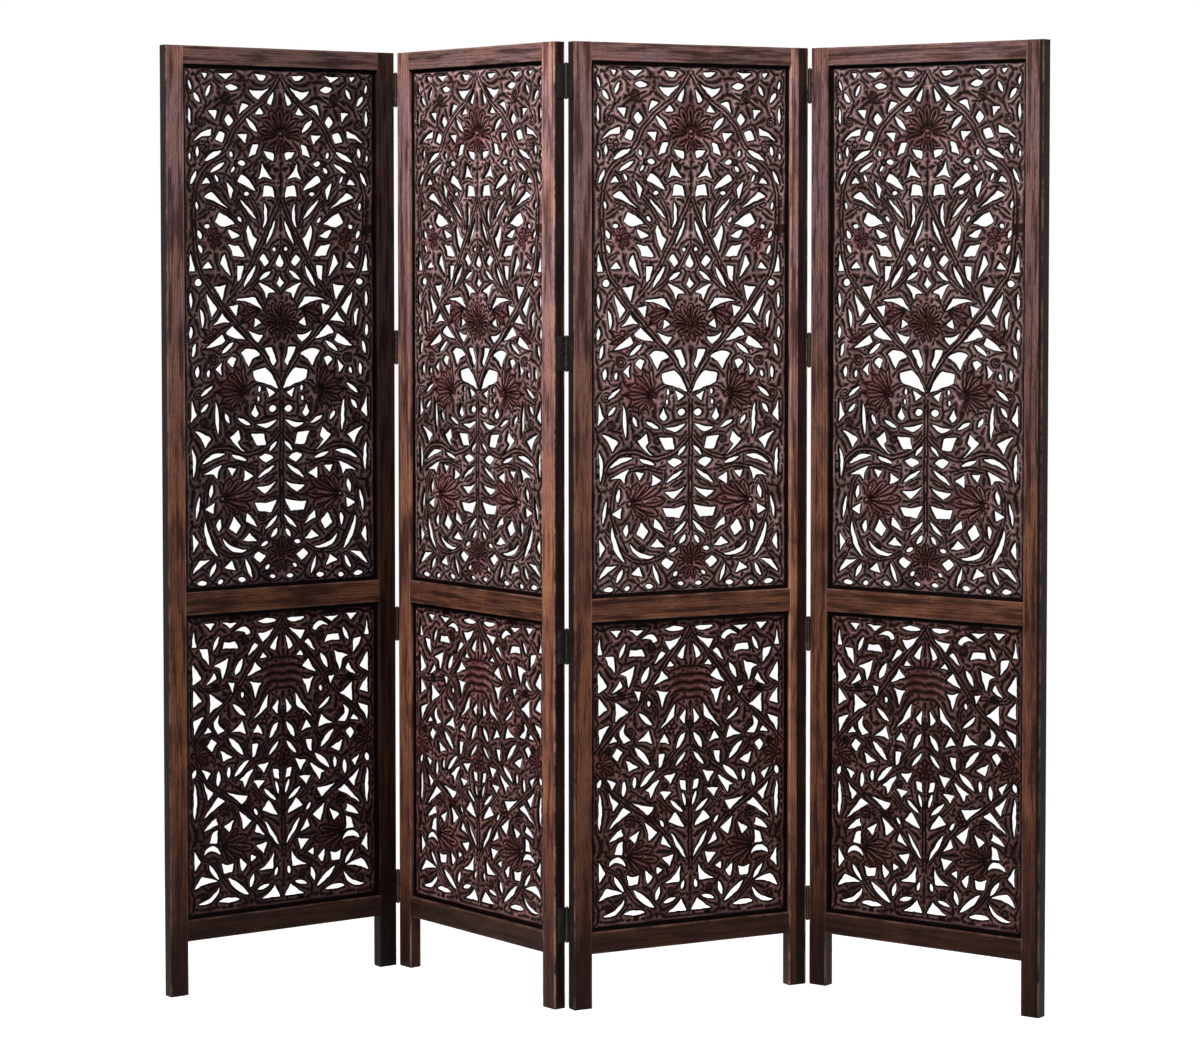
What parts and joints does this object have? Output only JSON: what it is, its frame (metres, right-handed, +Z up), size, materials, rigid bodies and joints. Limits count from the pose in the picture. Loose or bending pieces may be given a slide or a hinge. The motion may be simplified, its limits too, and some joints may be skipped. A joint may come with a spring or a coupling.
{
  "type": "folding screen",
  "caption": "Folding wooden screen: hinged framed panels on short legs, each with a tall and a short floral jali fretwork board.",
  "frame": {"origin": "on the floor, under the middle of the standing screen's box", "axes": "+Z up; +X along the screen to the right; +Y to the back, so the front faces -Y"},
  "size_m": [1.673, 0.507, 1.829],
  "materials": {
    "frame_timber": "dark brown stained hardwood, worn lighter on the arrises, satin wax",
    "jali_timber": "darker red-brown stained carved hardwood, satin on the ridges and matt in the grooves",
    "hinge_iron": "black painted iron, rubbed at the knuckles",
    "hinge_pin_steel": "dark blued steel",
    "screw_steel": "dark steel with bright slot edges"
  },
  "bodies": {
    "panel_1": {"panel_1_bottom_rail": "frame_timber", "panel_1_hinge_screws": "screw_steel", "panel_1_left_stile": "frame_timber", "panel_1_middle_rail": "frame_timber", "panel_1_right_stile": "frame_timber", "panel_1_short_jali": "jali_timber", "panel_1_tall_jali": "jali_timber", "panel_1_top_rail": "frame_timber", "hinge_12_lower_left_leaf": "hinge_iron", "hinge_12_lowest_left_leaf": "hinge_iron", "hinge_12_pins": "hinge_pin_steel", "hinge_12_top_left_leaf": "hinge_iron", "hinge_12_upper_left_leaf": "hinge_iron"},
    "panel_2": {"panel_2_bottom_rail": "frame_timber", "panel_2_hinge_screws": "screw_steel", "panel_2_left_stile": "frame_timber", "panel_2_middle_rail": "frame_timber", "panel_2_right_stile": "frame_timber", "panel_2_short_jali": "jali_timber", "panel_2_tall_jali": "jali_timber", "panel_2_top_rail": "frame_timber", "hinge_12_lower_right_leaf": "hinge_iron", "hinge_12_lowest_right_leaf": "hinge_iron", "hinge_12_top_right_leaf": "hinge_iron", "hinge_12_upper_right_leaf": "hinge_iron", "hinge_23_lower_left_leaf": "hinge_iron", "hinge_23_lowest_left_leaf": "hinge_iron", "hinge_23_pins": "hinge_pin_steel", "hinge_23_top_left_leaf": "hinge_iron", "hinge_23_upper_left_leaf": "hinge_iron"},
    "panel_3": {"panel_3_bottom_rail": "frame_timber", "panel_3_hinge_screws": "screw_steel", "panel_3_left_stile": "frame_timber", "panel_3_middle_rail": "frame_timber", "panel_3_right_stile": "frame_timber", "panel_3_short_jali": "jali_timber", "panel_3_tall_jali": "jali_timber", "panel_3_top_rail": "frame_timber", "hinge_23_lower_right_leaf": "hinge_iron", "hinge_23_lowest_right_leaf": "hinge_iron", "hinge_23_top_right_leaf": "hinge_iron", "hinge_23_upper_right_leaf": "hinge_iron", "hinge_34_lower_left_leaf": "hinge_iron", "hinge_34_lowest_left_leaf": "hinge_iron", "hinge_34_pins": "hinge_pin_steel", "hinge_34_top_left_leaf": "hinge_iron", "hinge_34_upper_left_leaf": "hinge_iron"},
    "panel_4": {"panel_4_bottom_rail": "frame_timber", "panel_4_hinge_screws": "screw_steel", "panel_4_left_stile": "frame_timber", "panel_4_middle_rail": "frame_timber", "panel_4_right_stile": "frame_timber", "panel_4_short_jali": "jali_timber", "panel_4_tall_jali": "jali_timber", "panel_4_top_rail": "frame_timber", "hinge_34_lower_right_leaf": "hinge_iron", "hinge_34_lowest_right_leaf": "hinge_iron", "hinge_34_top_right_leaf": "hinge_iron", "hinge_34_upper_right_leaf": "hinge_iron"}
  },
  "joints": [
    {"name": "fold_12", "type": "hinge", "parent": "panel_1", "child": "panel_2", "pos_m": [-0.40003, 0.23307, 0], "axis": [0, 0, -1], "range_deg": [-86.3, 93.7]},
    {"name": "fold_23", "type": "hinge", "parent": "panel_2", "child": "panel_3", "pos_m": [-0.06135, -0.15333, 0], "axis": [0, 0, 1], "range_deg": [-78.4, 101.6]},
    {"name": "fold_34", "type": "hinge", "parent": "panel_3", "child": "panel_4", "pos_m": [0.41105, 0.04879, 0], "axis": [0, 0, -1], "range_deg": [-63, 117]}
  ]
}
